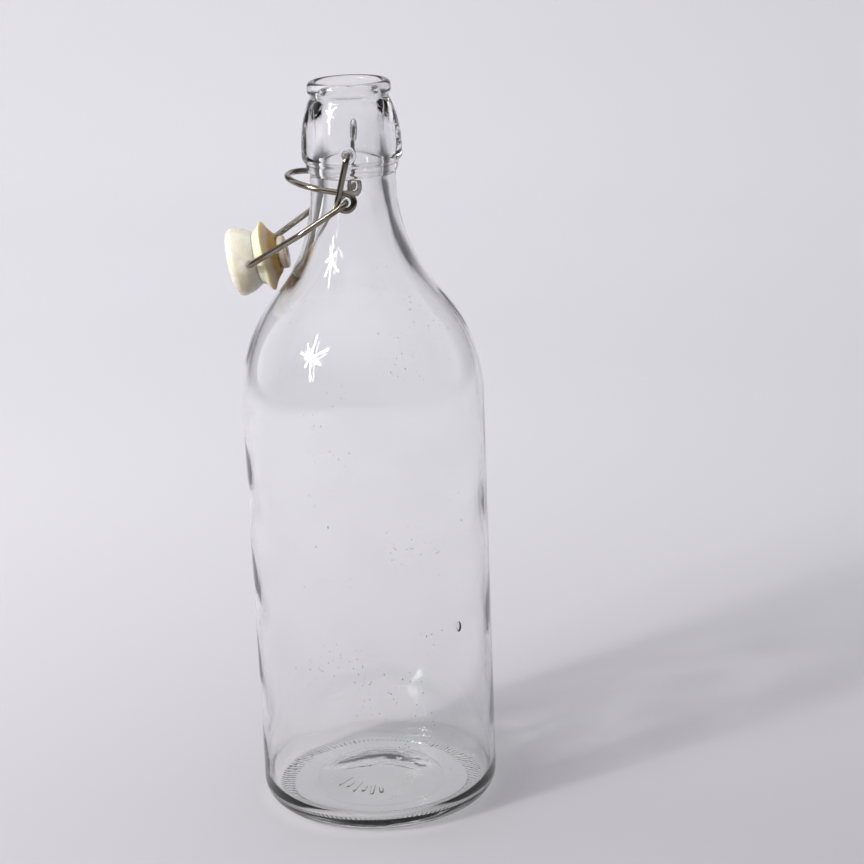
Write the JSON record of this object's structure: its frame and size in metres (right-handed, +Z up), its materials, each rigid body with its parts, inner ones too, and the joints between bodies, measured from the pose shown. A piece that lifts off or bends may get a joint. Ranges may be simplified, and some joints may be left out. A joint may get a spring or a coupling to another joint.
{
  "type": "growler",
  "caption": "Round clear glass swing-top bottle with a wire bail and lever closure and a gasketed plug stopper.",
  "frame": {"origin": "on the standing plane, under the centre line of the bottle", "axes": "+Z up along the bottle; the lever pivots on an axis along Y; the open closure hangs on the -X side"},
  "size_m": [0.0909, 0.088, 0.27],
  "materials": {
    "clear_glass": "clear, smooth, faint grey-green in the thick parts",
    "wire_steel": "drawn stainless wire, dull shine",
    "ivory_plastic": "aged ivory, glossy",
    "aged_rubber": "yellowed, slightly translucent, satin"
  },
  "bodies": {
    "bottle": {"bottle": "clear_glass"},
    "lever": {"lever_wire": "wire_steel"},
    "bail": {"bail_wire": "wire_steel"},
    "stopper": {"stopper": "ivory_plastic", "gasket": "aged_rubber"}
  },
  "joints": [
    {"name": "lever_pivot", "type": "hinge", "parent": "bottle", "child": "lever", "pos_m": [0, 0, 0.2462], "axis": [0, 1, 0], "range_deg": [0, 70]},
    {"name": "bail_pivot", "type": "hinge", "parent": "lever", "child": "bail", "pos_m": [-0.0012, 0, 0.23], "axis": [0, 1, 0], "range_deg": [0, 74]},
    {"name": "stopper_pivot", "type": "hinge", "parent": "bail", "child": "stopper", "pos_m": [-0.0372, 0, 0.2072], "axis": [0, -1, 0], "range_deg": [-60, 43]}
  ]
}
